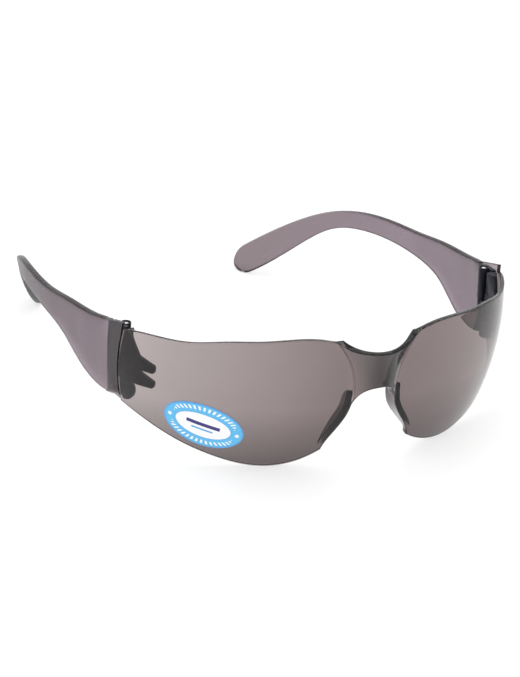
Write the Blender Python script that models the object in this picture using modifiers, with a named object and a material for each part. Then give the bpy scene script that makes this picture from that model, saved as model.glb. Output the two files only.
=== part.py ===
"""Wraparound safety glasses: a one-piece tinted lens, two hinged temples and a hinge at each end.

Metres, +Z up. +X is the wearer's left and +Y runs back towards the ears. The glasses stand open on the
lens's lower edge and on the two ear pieces, with the origin on that surface, under the middle.
"""
from math import cos, pi, radians, sin

import bmesh
import bpy
import numpy as np
from mathutils import Matrix, Vector

MM = 0.001

# Lens: each pane is a patch of a torus, tilted back at the bottom and thinner towards its end
LENS_NOSE_THICKNESS = 2.3 * MM
LENS_END_THICKNESS = 1.15 * MM
BRIDGE_THICKNESS = 1.5 * MM
PANE_RADIUS_ACROSS = 61.45 * MM
PANE_RADIUS_UP = 91.8 * MM
PANE_AXIS_X = 11.85 * MM
PANE_AXIS_Y = 62.05 * MM
PANE_MIDDLE_Z = 26.3 * MM
PANE_TILT = radians(8.45)

# Outline of a pane, as arc lengths across and up from its middle, at even steps
NOSE_EDGE_ACROSS = [a * MM for a in (2.9, -1.7, -3.9, -4.3, -3.0, 0.9, 3.9)]
END_EDGE_ACROSS = [a * MM for a in (76.05, 76.4, 74.95)]
TOP_EDGE_UP = [a * MM for a in (18.0, 19.9, 18.8, 17.3, 14.5, 12.8, 10.1)]
BOTTOM_EDGE_UP = [a * MM for a in (-21.3, -26.8, -27.8, -25.8, -22.8, -19.1, -15.7)]
PANE_COLUMNS = 26
PANE_ROWS = 16
NOSE_CROWDING = 1.25

# Saddle bridge, which stands forward between the panes
BRIDGE_ROWS = 9
BRIDGE_COLUMNS = 6
BRIDGE_TOP_Y = -5.8 * MM
BRIDGE_TOP_Z = 40.65 * MM
BRIDGE_FOOT_Y = -2.8 * MM
BRIDGE_FOOT_Z = 28.1 * MM
BRIDGE_HOLLOW = 0.8 * MM
BRIDGE_ROUNDNESS_TOP = (1.4, 0.35)
BRIDGE_ROUNDNESS_FOOT = (1.2, 0.45)

# Nose flanges, which run back from the nose edges of the panes
FLANGE_START = 0.44
FLANGE_END = 0.97
FLANGE_DEPTH = 6.2 * MM
FLANGE_START_DEPTH = 1.2 * MM
FLANGE_END_DEPTH = 1.4 * MM
FLANGE_ROUND_SHARE = 0.2
FLANGE_FADE_START = 0.5
FLANGE_FADE_POWER = 1.6
FLANGE_THICKNESS = 2.6 * MM
FLANGE_TIP_THICKNESS = 1.9 * MM
FLANGE_BURIED = 0.8 * MM
FLANGE_INSET = 0.15 * MM
FLANGE_STATIONS = 14
FLANGE_SLOPE_STEP = 0.01

# Hinge: the pin stands upright near the end of the lens
HINGE_X = 66.0 * MM
HINGE_Y = 45.2 * MM
PIN_RADIUS = 0.6 * MM
PIN_HEAD_RADIUS = 1.1 * MM
PIN_HEAD_HEIGHT = 0.6 * MM
PIN_DOME_STEPS = 5
PIN_MERGE = 0.01 * MM
PIN_FOOT_Z = 24.2 * MM
BORE_RADIUS = 0.85 * MM
BORE_EXTRA = 5 * MM
BARREL_RADIUS = 1.7 * MM
BARREL_FOOT_Z = 31.9 * MM
BARREL_TOP_Z = 42.6 * MM
COUNTERBORE_RADIUS = 1.35 * MM
COUNTERBORE_Z = 41.7 * MM
KNUCKLE_RADIUS = 1.45 * MM
KNUCKLE_FOOT_Z = 24.6 * MM
KNUCKLE_TOP_Z = 31.6 * MM
NECK_REACH = (1.1 * MM, 0.5 * MM, 3.0 * MM)
HINGE_GAP = 0.3 * MM

# Fork: the hinge block on the lens, as a flat outline (across, up) that follows the pane
FORK_OUTLINE = [
    (75.8, 9.9), (73.8, 9.4), (68.9, 3.3), (62.9, 2.0), (62.5, 1.3), (62.5, -0.3), (63.1, -0.8), (69.4, -1.4),
    (73.2, -1.0), (73.0, -1.8), (68.3, -1.9), (67.1, -2.3), (62.5, -3.7), (62.2, -4.2), (62.3, -5.7),
    (62.9, -6.2), (69.0, -7.1), (72.7, -6.7), (72.5, -7.5), (70.9, -7.9), (70.1, -9.0), (69.9, -10.8),
    (70.4, -12.6), (71.5, -14.0), (72.9, -14.8), (74.2, -15.1), (74.7, -15.0), (75.1, -13.0), (75.6, -9.2),
    (76.1, -2.8), (76.1, 3.6),
]
FORK_GAP = 0.3 * MM
FORK_TIP_THICKNESS = 1.2 * MM
FORK_BASE_THICKNESS = 3.1 * MM
FORK_TAPER = (72.6 * MM, 75.8 * MM)
FORK_EDGE_STEP = 2.2 * MM

# Temples: the outer face in plan, and the blade's middle height and width along it
PARTING_GAP = 0.35 * MM
TEMPLE_LENGTH = 129.7 * MM
TEMPLE_OUTER_X = 70.2 * MM
TEMPLE_SWEEP = [a * MM for a in (9.2, -5.3, -23.0, -10.3)]
TEMPLE_MIDDLE_Z = [a * MM for a in (31.6, 29.4, 32.4, 33.0, 32.9, 31.7, 27.1, 15.9, 2.3)]
TEMPLE_WIDTH = [a * MM for a in (22.2, 22.8, 14.1, 8.9, 7.2, 6.4, 6.4, 9.8, 9.6)]
TEMPLE_THICKNESS = 2.5 * MM
TEMPLE_SKIN = 1.2 * MM
TEMPLE_CHAMFER = 0.6 * MM
TEMPLE_SLOPE_STEP = 0.004
BLADE_LEVELS = 5
TEMPLE_TIP_BLUNTNESS = 0.012
TEMPLE_FRONT_TOP_Z = 44.6 * MM
TEMPLE_FRONT_FOOT_Z = 17.5 * MM
TEMPLE_BOW_MIDDLE_Z = 33.0 * MM
TEMPLE_BOW_FADE = 0.3
TEMPLE_FRONT_BLEND = 0.045
TEMPLE_FRONT_STATIONS = 5
TEMPLE_STATIONS = 20
TEMPLE_TIP_START = 0.955
TEMPLE_TIP_STATIONS = (0.965, 0.975, 0.984, 0.992, 0.997, 1.0)
PARTING_SAMPLES = 24

# Hinge insert in the front of each temple
INSERT_BACK_Y = 49.8 * MM
INSERT_BACK_LEAN = 2.9 * MM
INSERT_GAP = 0.3 * MM
INSERT_THICKNESS = 1.5 * MM
INSERT_EDGE_INSET = 0.35 * MM
INSERT_TOP_Z = 42.5 * MM
INSERT_NOTCH_Z = 30.2 * MM
INSERT_NOTCH_SIZE = 0.8 * MM
INSERT_NOTCH_REACH = (3 * MM, 6 * MM, 3 * MM)
INSERT_TRIM_REACH = (8 * MM, 8 * MM, 10 * MM)

# Sticker on the wearer's right pane
LABEL_ACROSS = 43.9 * MM
LABEL_UP = -13.3 * MM
LABEL_HALF_LENGTH = 13.3 * MM
LABEL_HALF_HEIGHT = 8.0 * MM
LABEL_SLANT = radians(9.0)
LABEL_GAP = 0.2 * MM
LABEL_THICKNESS = 0.2 * MM
LABEL_SEGMENTS = 40
LABEL_RINGS = 3

ROUND_SEGMENTS = 24

# Where the middle of the space the glasses fill lies, and how far the lens's lowest edge is moved up
MIDDLE_Y = 85.0 * MM
LIFT = -0.44 * MM


# Scene and materials

def clear_scene():
    for obj in list(bpy.data.objects):
        bpy.data.objects.remove(obj)


def new_collection(name):
    collection = bpy.data.collections.new(name)
    bpy.context.scene.collection.children.link(collection)
    return collection


def new_material(name, colour, roughness, metallic=0.0, transmission=0.0):
    material = bpy.data.materials.new(name)
    material.use_nodes = True
    shader = material.node_tree.nodes["Principled BSDF"]
    shader.inputs["Base Color"].default_value = (*colour, 1.0)
    shader.inputs["Roughness"].default_value = roughness
    shader.inputs["Metallic"].default_value = metallic
    shader.inputs["Transmission Weight"].default_value = transmission
    return material


def new_object(name, mesh, collection, material, parent):
    obj = bpy.data.objects.new(name, mesh)
    collection.objects.link(obj)
    mesh.materials.append(material)
    obj.parent = parent
    return obj


def new_cutter(name, mesh, collection, parent):
    obj = bpy.data.objects.new(name, mesh)
    collection.objects.link(obj)
    obj.parent = parent
    obj.hide_render = True
    obj.display_type = "WIRE"
    return obj


def new_empty(name, collection, location, parent=None):
    empty = bpy.data.objects.new(name, None)
    collection.objects.link(empty)
    empty.location = location
    empty.parent = parent
    return empty


# Curves and surfaces

def smooth_curve(knots, t):
    """The cubic spline through evenly spaced knots, read at t from 0 to 1."""
    count = len(knots)
    rows = np.zeros((count, count))
    bends = np.zeros(count)
    rows[0, :3] = rows[-1, -3:] = (1, -2, 1)
    for i in range(1, count - 1):
        rows[i, i - 1:i + 2] = (1, 4, 1)
        bends[i] = 6 * (knots[i - 1] - 2 * knots[i] + knots[i + 1])
    curvature = np.linalg.lstsq(rows, bends, rcond=None)[0]
    place = t * (count - 1)
    i = min(max(int(place), 0), count - 2)
    s = place - i
    straight = (1 - s) * knots[i] + s * knots[i + 1]
    return straight + ((1 - s)**3 - (1 - s)) / 6 * curvature[i] + (s**3 - s) / 6 * curvature[i + 1]


def mix(a, b, t):
    return a + (b - a) * t


def ease(t):
    t = min(max(t, 0.0), 1.0)
    return t * t * (3 - 2 * t)


def pane_point(across, up, depth=0.0):
    """A point of the wearer's left pane, given by arc lengths, and the depth behind its front face."""
    turn = across / PANE_RADIUS_ACROSS
    rise = up / PANE_RADIUS_UP
    upright_radius = PANE_RADIUS_UP - depth
    radius = PANE_RADIUS_ACROSS - PANE_RADIUS_UP + upright_radius * cos(rise)
    x = PANE_AXIS_X + radius * sin(turn)
    y = PANE_AXIS_Y - radius * cos(turn)
    z = upright_radius * sin(rise)
    tilted_y = y * cos(PANE_TILT) - z * sin(PANE_TILT)
    tilted_z = y * sin(PANE_TILT) + z * cos(PANE_TILT)
    return Vector((x, tilted_y, tilted_z + PANE_MIDDLE_Z))


def pane_across(s, t):
    return mix(smooth_curve(NOSE_EDGE_ACROSS, t), smooth_curve(END_EDGE_ACROSS, t), s)


def pane_patch(s, t):
    """The pane's front face, from the nose edge (s 0) to its end (s 1), and from the top (t 0) down."""
    top = smooth_curve(TOP_EDGE_UP, s)
    bottom = smooth_curve(BOTTOM_EDGE_UP, s)
    return pane_point(pane_across(s, t), mix(top, bottom, t))


def lens_thickness(across):
    return mix(LENS_NOSE_THICKNESS, LENS_END_THICKNESS, min(max(across / END_EDGE_ACROSS[0], 0.0), 1.0))


def bridge_thickness(s):
    """The bridge is thinnest in the middle and meets the panes at their thickness."""
    return mix(BRIDGE_THICKNESS, LENS_NOSE_THICKNESS, s**2)


def bridge_point(s, row):
    """The bridge's front face, from the middle (s 0) to the crease (s 1)."""
    drop = row / BRIDGE_ROWS
    crease = pane_patch(0.0, row / PANE_ROWS)
    middle_y = mix(BRIDGE_TOP_Y, BRIDGE_FOOT_Y, drop) + BRIDGE_HOLLOW * sin(pi * drop)
    middle_z = mix(BRIDGE_TOP_Z, BRIDGE_FOOT_Z, drop)
    round_y = mix(BRIDGE_ROUNDNESS_TOP[0], BRIDGE_ROUNDNESS_FOOT[0], drop)
    round_z = mix(BRIDGE_ROUNDNESS_TOP[1], BRIDGE_ROUNDNESS_FOOT[1], drop)
    y = mix(middle_y, crease.y, round_y * s**2 + (1 - round_y) * s**4)
    z = mix(middle_z, crease.z, round_z * s**2 + (1 - round_z) * s**4)
    return Vector((crease.x * s, y, z))


def temple_outer_x(t):
    bend = sum(a * t**(i + 1) for i, a in enumerate(TEMPLE_SWEEP))
    return TEMPLE_OUTER_X + bend


# Mesh building

def mesh_from_bmesh(name, bm):
    mesh = bpy.data.meshes.new(name)
    bm.to_mesh(mesh)
    bm.free()
    return mesh


def grid_faces(bm, rows):
    """Quads between neighbouring rows of vertices."""
    for upper, lower in zip(rows, rows[1:]):
        for i in range(len(upper) - 1):
            bm.faces.new((upper[i], lower[i], lower[i + 1], upper[i + 1]))


def loft(name, sections):
    """A closed solid through closed sections, each listed up one side and down the other.

    The end caps are ladders of quads between the two sides, so that a curved end stays true.
    """
    bm = bmesh.new()
    rings = [[bm.verts.new(p) for p in section] for section in sections]
    for ring, following in zip(rings, rings[1:]):
        for i in range(len(ring)):
            j = (i + 1) % len(ring)
            bm.faces.new((ring[i], ring[j], following[j], following[i]))
    last = len(sections[0]) - 1
    for ring in (rings[0], rings[-1]):
        for i in range(last // 2):
            bm.faces.new((ring[i], ring[i + 1], ring[last - i - 1], ring[last - i]))
    bmesh.ops.recalc_face_normals(bm, faces=bm.faces)
    return mesh_from_bmesh(name, bm)


def mirrored(mesh, name):
    """A copy of a mesh on the other side of the middle plane."""
    bm = bmesh.new()
    bm.from_mesh(mesh)
    bmesh.ops.transform(bm, matrix=Matrix.Scale(-1, 4, (1, 0, 0)), verts=bm.verts)
    bmesh.ops.reverse_faces(bm, faces=bm.faces)
    return mesh_from_bmesh(name, bm)


def upright_cylinder(name, radius, foot, top):
    """A cylinder round the hinge axis on the wearer's left."""
    bm = bmesh.new()
    place = Matrix.Translation((HINGE_X, HINGE_Y, (foot + top) / 2))
    bmesh.ops.create_cone(bm, cap_ends=True, segments=ROUND_SEGMENTS, radius1=radius, radius2=radius,
                          depth=top - foot, matrix=place)
    return mesh_from_bmesh(name, bm)


def block(name, low, high):
    bm = bmesh.new()
    size = [b - a for a, b in zip(low, high)]
    middle = [(a + b) / 2 for a, b in zip(low, high)]
    bmesh.ops.create_cube(bm, size=1, matrix=Matrix.Translation(middle) @ Matrix.Diagonal((*size, 1)))
    return mesh_from_bmesh(name, bm)


def combine(obj, tool, operation):
    modifier = obj.modifiers.new(tool.name, "BOOLEAN")
    modifier.object = tool
    modifier.operation = operation
    modifier.solver = "EXACT"


def shade_round(mesh, angle=35):
    mesh.shade_smooth()
    mesh.set_sharp_from_angle(angle=radians(angle))


# Lens

def lens_half():
    """The front face from the middle to one end, with the share of the full thickness as a weight."""
    bm = bmesh.new()
    weights = bm.verts.layers.deform.verify()
    pane = []
    for row in range(PANE_ROWS + 1):
        t = row / PANE_ROWS
        verts = []
        for i in range(PANE_COLUMNS + 1):
            s = (i / PANE_COLUMNS)**NOSE_CROWDING
            vert = bm.verts.new(pane_patch(s, t))
            vert[weights][0] = lens_thickness(pane_across(s, t)) / LENS_NOSE_THICKNESS
            verts.append(vert)
        pane.append(verts)
    grid_faces(bm, pane)
    bridge = []
    for row in range(BRIDGE_ROWS + 1):
        verts = []
        for i in range(BRIDGE_COLUMNS):
            s = i / BRIDGE_COLUMNS
            vert = bm.verts.new(bridge_point(s, row))
            vert[weights][0] = bridge_thickness(s) / LENS_NOSE_THICKNESS
            verts.append(vert)
        bridge.append(verts + [pane[row][0]])
    grid_faces(bm, bridge)
    return mesh_from_bmesh("lens", bm)


def flange_section(t):
    """The flange's outline across its root at t along the nose edge."""
    along = (t - FLANGE_START) / (FLANGE_END - FLANGE_START)
    rounding = min(along / FLANGE_ROUND_SHARE, 1.0)
    fade = max(along - FLANGE_FADE_START, 0.0) / (1 - FLANGE_FADE_START)
    depth = mix(FLANGE_DEPTH, FLANGE_END_DEPTH, fade**FLANGE_FADE_POWER)
    depth = mix(FLANGE_START_DEPTH, depth, (1 - (1 - rounding)**2)**0.5)
    root = pane_patch(0.0, t)
    down = (pane_patch(0.0, t + FLANGE_SLOPE_STEP) - pane_patch(0.0, t - FLANGE_SLOPE_STEP)).normalized()
    back = Vector((0, 1, 0))
    to_nose = down.cross(back).normalized()
    if to_nose.x > 0:
        to_nose.negate()
    tip_shift = (FLANGE_THICKNESS - FLANGE_TIP_THICKNESS) / 2
    outline = [
        (-FLANGE_INSET, FLANGE_BURIED),
        (-FLANGE_INSET - tip_shift, depth - tip_shift),
        (-FLANGE_INSET - 2 * tip_shift, depth),
        (-FLANGE_INSET - FLANGE_THICKNESS + 2 * tip_shift, depth),
        (-FLANGE_INSET - FLANGE_THICKNESS + tip_shift, depth - tip_shift),
        (-FLANGE_INSET - FLANGE_THICKNESS, FLANGE_BURIED),
    ]
    return [root + to_nose * a + back * b for a, b in outline]


def flange_mesh():
    steps = [mix(FLANGE_START, FLANGE_END, i / FLANGE_STATIONS) for i in range(FLANGE_STATIONS + 1)]
    return loft("nose_flange", [flange_section(t) for t in steps])


def build_lens(parts, cutters, material, frame):
    lens = new_object("lens", lens_half(), parts, material, frame)
    mirror = lens.modifiers.new("both halves", "MIRROR")
    mirror.merge_threshold = 0.0001
    shell = lens.modifiers.new("thickness", "SOLIDIFY")
    shell.thickness = LENS_NOSE_THICKNESS
    shell.vertex_group = lens.vertex_groups.new(name="thickness").name
    shell.offset = -1
    shell.use_even_offset = True
    right = flange_mesh()
    for mesh in (mirrored(right, "nose_flange_right"), right):
        combine(lens, new_cutter(mesh.name, mesh, cutters, frame), "UNION")
    return lens


# Hinge fork on the lens

def fork_mesh():
    """The fork's outline, laid on the back of the pane and thickened towards the hinge."""
    outline = [Vector((a * MM, b * MM, 0)) for a, b in FORK_OUTLINE]
    fine = []
    for start, end in zip(outline, outline[1:] + outline[:1]):
        pieces = max(1, round((end - start).length / FORK_EDGE_STEP))
        fine += [start.lerp(end, i / pieces) for i in range(pieces)]
    bm = bmesh.new()
    ring = [bm.verts.new(p) for p in fine]
    edges = [bm.edges.new((a, b)) for a, b in zip(ring, ring[1:] + ring[:1])]
    filled = bmesh.ops.triangle_fill(bm, edges=edges, use_beauty=True)
    faces = [f for f in filled["geom"] if isinstance(f, bmesh.types.BMFace)]
    raised = bmesh.ops.extrude_face_region(bm, geom=faces, use_keep_orig=True)
    upper = {v for v in raised["geom"] if isinstance(v, bmesh.types.BMVert)}
    for vert in bm.verts:
        across, up, _ = vert.co
        taper = ease((across - FORK_TAPER[0]) / (FORK_TAPER[1] - FORK_TAPER[0]))
        thickness = mix(FORK_TIP_THICKNESS, FORK_BASE_THICKNESS, taper)
        depth = lens_thickness(across) + FORK_GAP + (thickness if vert in upper else 0.0)
        vert.co = pane_point(across, up, depth)
    bmesh.ops.recalc_face_normals(bm, faces=bm.faces)
    return mesh_from_bmesh("hinge_fork", bm)


def hinge_tools(cutters, frame):
    """The solids that the hinge pieces share: knuckle, clearances and bore, on the wearer's left."""
    clearance = BARREL_RADIUS + HINGE_GAP
    groove = KNUCKLE_RADIUS + HINGE_GAP
    above = BARREL_TOP_Z + BORE_EXTRA
    inward, outward, forward = NECK_REACH
    neck_low = (HINGE_X - inward, HINGE_Y - forward, KNUCKLE_FOOT_Z + HINGE_GAP)
    neck_high = (HINGE_X + outward, HINGE_Y, KNUCKLE_TOP_Z - HINGE_GAP)
    inward, outward, backward = INSERT_NOTCH_REACH
    notch_low = (HINGE_X - inward, INSERT_BACK_Y - INSERT_NOTCH_SIZE, INSERT_NOTCH_Z)
    notch_high = (HINGE_X + outward, INSERT_BACK_Y + backward, INSERT_NOTCH_Z + INSERT_NOTCH_SIZE)
    aside, along, upward = INSERT_TRIM_REACH
    trim_low = (HINGE_X - aside, HINGE_Y - along, INSERT_TOP_Z)
    trim_high = (HINGE_X + aside, HINGE_Y + along, INSERT_TOP_Z + upward)
    shapes = {
        "trim": block("trim", trim_low, trim_high),
        "knuckle": upright_cylinder("knuckle", KNUCKLE_RADIUS, KNUCKLE_FOOT_Z, KNUCKLE_TOP_Z),
        "neck": block("neck", neck_low, neck_high),
        "barrel": upright_cylinder("barrel", BARREL_RADIUS, BARREL_FOOT_Z, BARREL_TOP_Z),
        "barrel_room": upright_cylinder("barrel_room", clearance, KNUCKLE_TOP_Z, above),
        "knuckle_room": upright_cylinder("knuckle_room", groove, KNUCKLE_FOOT_Z - HINGE_GAP, BARREL_FOOT_Z),
        "bore": upright_cylinder("bore", BORE_RADIUS, KNUCKLE_FOOT_Z - BORE_EXTRA, above),
        "counterbore": upright_cylinder("counterbore", COUNTERBORE_RADIUS, COUNTERBORE_Z, above),
        "notch": block("notch", notch_low, notch_high),
    }
    tools = {}
    for key, mesh in shapes.items():
        for side in ("left", "right"):
            name = key + "_" + side
            placed = mesh if side == "left" else mirrored(mesh, name)
            tools[name] = new_cutter(name, placed, cutters, frame)
    return tools


def build_fork(side, mesh, parts, tools, material, frame):
    fork = new_object("hinge_fork_" + side, mesh, parts, material, frame)
    combine(fork, tools["neck_" + side], "UNION")
    combine(fork, tools["knuckle_" + side], "UNION")
    combine(fork, tools["barrel_room_" + side], "DIFFERENCE")
    combine(fork, tools["bore_" + side], "DIFFERENCE")
    return fork


# Temples

def parting_point(height, depth):
    """A point of the temple's front face, just behind the lens's end."""
    ends = [pane_patch(1.0, i / PARTING_SAMPLES) for i in range(PARTING_SAMPLES + 1)]
    along = (ends[0].z - height) / (ends[0].z - ends[-1].z)
    t = min(max(along, 0.0), 1.0)
    across = smooth_curve(END_EDGE_ACROSS, t) + PARTING_GAP
    up = mix(TOP_EDGE_UP[-1], BOTTOM_EDGE_UP[-1], t)
    point = pane_point(across, up, depth)
    overshoot = along - t
    return point + (ends[-1] - ends[0]) * overshoot


def blade_point(t, lean, depth):
    """A point of the temple: t along it, lean from -1 at the bottom edge to 1 at the top edge."""
    middle = smooth_curve(TEMPLE_MIDDLE_Z, t)
    half = smooth_curve(TEMPLE_WIDTH, t) / 2
    step = TEMPLE_SLOPE_STEP
    rise = smooth_curve(TEMPLE_MIDDLE_Z, t + step) - smooth_curve(TEMPLE_MIDDLE_Z, t - step)
    run = 2 * step * TEMPLE_LENGTH
    slope = Vector((0, run, rise)).normalized()
    remaining = (1 - t) * Vector((0, run, rise)).length / (2 * step)
    end_radius = TEMPLE_WIDTH[-1] / 2
    if remaining < end_radius:
        half *= max(1 - (1 - remaining / end_radius)**2, TEMPLE_TIP_BLUNTNESS)**0.5
    y = HINGE_Y + TEMPLE_LENGTH * t - slope.z * half * lean
    z = middle + slope.y * half * lean
    bow = (z - TEMPLE_BOW_MIDDLE_Z)**2 / (2 * PANE_RADIUS_UP) * (1 - ease(t / TEMPLE_BOW_FADE))
    sideways = (temple_outer_x(t + step) - temple_outer_x(t)) / (step * TEMPLE_LENGTH)
    inward = Vector((-1, sideways, 0)).normalized()
    return Vector((temple_outer_x(t) - bow, y, z)) + inward * depth


def temple_point(t, lean, depth):
    """A point of the temple, whose front end is drawn forward to meet the lens."""
    point = blade_point(max(t, 0.0), lean, depth)
    if t >= TEMPLE_FRONT_BLEND:
        return point
    height = mix(TEMPLE_FRONT_FOOT_Z, TEMPLE_FRONT_TOP_Z, (lean + 1) / 2)
    front = parting_point(height, depth)
    along = (t + TEMPLE_FRONT_BLEND) / (2 * TEMPLE_FRONT_BLEND)
    behind = blade_point(TEMPLE_FRONT_BLEND, lean, depth)
    before = blade_point(TEMPLE_FRONT_BLEND - TEMPLE_SLOPE_STEP, lean, depth)
    slope = (behind - before) / TEMPLE_SLOPE_STEP * (2 * TEMPLE_FRONT_BLEND)
    square = along * along
    cube = square * along
    point = front * (2 * cube - 3 * square + 1) + (behind - front) * (cube - 2 * square + along)
    return point + behind * (3 * square - 2 * cube) + slope * (cube - square)


def insert_back(lean):
    """Where the insert ends along the temple; its back edge leans like the end of the lens."""
    return (INSERT_BACK_Y - INSERT_BACK_LEAN * lean - HINGE_Y) / TEMPLE_LENGTH


def front_station(share, gap=0.0):
    """A line across the temple, share of the way from its front to the insert's back edge and a gap."""
    return lambda lean: mix(-TEMPLE_FRONT_BLEND, insert_back(lean) + gap / TEMPLE_LENGTH, share)


def rear_station(share):
    """A line across the temple, share of the way from behind the insert to the start of the tip."""
    start = 2 * INSERT_GAP / TEMPLE_LENGTH
    return lambda lean: mix(insert_back(lean) + start, TEMPLE_TIP_START, share)


def blade_section(station, outer_depth, inner_depth, edge, chamfer):
    """The blade's closed outline on a line across it, between two depths behind its outer face."""
    half = smooth_curve(TEMPLE_WIDTH, max(station(0.0), 0.0)) / 2
    limit = 1 - edge / half
    cut = limit - chamfer / half
    leans = [mix(-cut, cut, i / (BLADE_LEVELS - 1)) for i in range(BLADE_LEVELS)]
    outline = [(-limit, outer_depth + chamfer)]
    outline += [(lean, outer_depth) for lean in leans]
    outline += [(limit, outer_depth + chamfer), (limit, inner_depth - chamfer)]
    outline += [(lean, inner_depth) for lean in reversed(leans)]
    outline += [(-limit, inner_depth - chamfer)]
    return [temple_point(station(lean), lean, depth) for lean, depth in outline]


def temple_mesh():
    """The blade, with a thin skin over the hinge insert and full thickness behind it."""
    sections = []
    for i in range(TEMPLE_FRONT_STATIONS + 1):
        station = front_station(i / TEMPLE_FRONT_STATIONS, INSERT_GAP)
        sections.append(blade_section(station, 0, TEMPLE_SKIN, 0, TEMPLE_CHAMFER / 2))
    stations = [rear_station(i / TEMPLE_STATIONS) for i in range(TEMPLE_STATIONS + 1)]
    stations += [lambda lean, t=t: t for t in TEMPLE_TIP_STATIONS]
    sections += [blade_section(station, 0, TEMPLE_THICKNESS, 0, TEMPLE_CHAMFER) for station in stations]
    return loft("temple", sections)


def insert_mesh():
    """The insert's plate, lying against the inside of the temple's skin."""
    outer = TEMPLE_SKIN + INSERT_GAP
    inner = outer + INSERT_THICKNESS
    stations = [front_station(i / TEMPLE_FRONT_STATIONS) for i in range(TEMPLE_FRONT_STATIONS + 1)]
    sections = [blade_section(s, outer, inner, INSERT_EDGE_INSET, TEMPLE_CHAMFER / 2) for s in stations]
    return loft("temple_hinge", sections)


def build_temple(side, mesh, parts, material, hinge):
    temple = new_object("temple_" + side, mesh, parts, material, hinge)
    temple.location = (-HINGE_X if side == "left" else HINGE_X, -HINGE_Y, 0)
    return temple


def build_insert(side, mesh, parts, tools, material, hinge):
    insert = new_object("temple_hinge_" + side, mesh, parts, material, hinge)
    insert.location = (-HINGE_X if side == "left" else HINGE_X, -HINGE_Y, 0)
    combine(insert, tools["trim_" + side], "DIFFERENCE")
    combine(insert, tools["knuckle_room_" + side], "DIFFERENCE")
    combine(insert, tools["barrel_" + side], "UNION")
    combine(insert, tools["notch_" + side], "DIFFERENCE")
    combine(insert, tools["counterbore_" + side], "DIFFERENCE")
    combine(insert, tools["bore_" + side], "DIFFERENCE")
    return insert


# Hinge pin

def build_pin(side, parts, material, frame):
    """A straight pin with a domed head, turned about the hinge axis."""
    head_foot = COUNTERBORE_Z + HINGE_GAP / 2
    profile = [(0.0, head_foot + PIN_HEAD_HEIGHT)]
    for i in range(1, PIN_DOME_STEPS + 1):
        angle = pi / 2 * i / PIN_DOME_STEPS
        profile.append((PIN_HEAD_RADIUS * sin(angle), head_foot + PIN_HEAD_HEIGHT * cos(angle)))
    profile += [(PIN_RADIUS, head_foot), (PIN_RADIUS, PIN_FOOT_Z), (0.0, PIN_FOOT_Z)]
    bm = bmesh.new()
    verts = [bm.verts.new((r, 0, z)) for r, z in profile]
    for a, b in zip(verts, verts[1:]):
        bm.edges.new((a, b))
    pin = new_object("hinge_pin_" + side, mesh_from_bmesh("hinge_pin", bm), parts, material, frame)
    pin.location = (HINGE_X if side == "left" else -HINGE_X, HINGE_Y, 0)
    screw = pin.modifiers.new("turned", "SCREW")
    screw.steps = ROUND_SEGMENTS
    screw.render_steps = ROUND_SEGMENTS
    screw.use_merge_vertices = True
    screw.merge_threshold = PIN_MERGE
    return pin


# Sticker

def label_point(radius, angle, depth):
    a = LABEL_HALF_LENGTH * radius * cos(angle)
    b = LABEL_HALF_HEIGHT * radius * sin(angle)
    across = LABEL_ACROSS + a * cos(LABEL_SLANT) - b * sin(LABEL_SLANT)
    up = LABEL_UP + a * sin(LABEL_SLANT) + b * cos(LABEL_SLANT)
    point = pane_point(across, up, depth)
    return Vector((-point.x, point.y, point.z))


def build_label(parts, material, frame):
    """An oval sheet that follows the front of the wearer's right pane."""
    bm = bmesh.new()
    centre = bm.verts.new(label_point(0, 0, -LABEL_GAP))
    rings = []
    for ring in range(1, LABEL_RINGS + 1):
        angles = [2 * pi * i / LABEL_SEGMENTS for i in range(LABEL_SEGMENTS)]
        rings.append([bm.verts.new(label_point(ring / LABEL_RINGS, a, -LABEL_GAP)) for a in angles])
    for i in range(LABEL_SEGMENTS):
        j = (i + 1) % LABEL_SEGMENTS
        bm.faces.new((centre, rings[0][i], rings[0][j]))
        for inner, outer in zip(rings, rings[1:]):
            bm.faces.new((inner[i], outer[i], outer[j], inner[j]))
    bmesh.ops.recalc_face_normals(bm, faces=bm.faces)
    bm.normal_update()
    if bm.faces[0].normal.y > 0:
        bmesh.ops.reverse_faces(bm, faces=bm.faces)
    label = new_object("label", mesh_from_bmesh("label", bm), parts, material, frame)
    shell = label.modifiers.new("thickness", "SOLIDIFY")
    shell.thickness = LABEL_THICKNESS
    shell.offset = 1
    return label


def build_glasses():
    parts = new_collection("safety_glasses")
    cutters = new_collection("safety_glasses_cutters")
    smoke = new_material("smoke_polycarbonate", (0.28, 0.25, 0.26), 0.04, transmission=1.0)
    frosted = new_material("temple_polycarbonate", (0.30, 0.27, 0.29), 0.3, transmission=0.6)
    black = new_material("black_nylon", (0.03, 0.03, 0.035), 0.45)
    steel = new_material("pin_steel", (0.75, 0.74, 0.72), 0.25, metallic=1.0)
    paper = new_material("label_paper", (0.45, 0.72, 0.88), 0.4)

    frame = new_empty("glasses_frame", parts, (0, -MIDDLE_Y, LIFT))
    tools = hinge_tools(cutters, frame)
    built = [build_lens(parts, cutters, smoke, frame)]
    fork = fork_mesh()
    temple = temple_mesh()
    insert = insert_mesh()
    for side in ("left", "right"):
        left = side == "left"
        own = [mesh.copy() if left else mirrored(mesh, mesh.name) for mesh in (fork, temple, insert)]
        hinge = new_empty("hinge_axis_" + side, parts, (HINGE_X if left else -HINGE_X, HINGE_Y, 0), frame)
        built.append(build_fork(side, own[0], parts, tools, black, frame))
        built.append(build_temple(side, own[1], parts, frosted, hinge))
        built.append(build_insert(side, own[2], parts, tools, black, hinge))
        built.append(build_pin(side, parts, steel, frame))
    built.append(build_label(parts, paper, frame))
    for obj in built:
        shade_round(obj.data)


clear_scene()
build_glasses()
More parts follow.
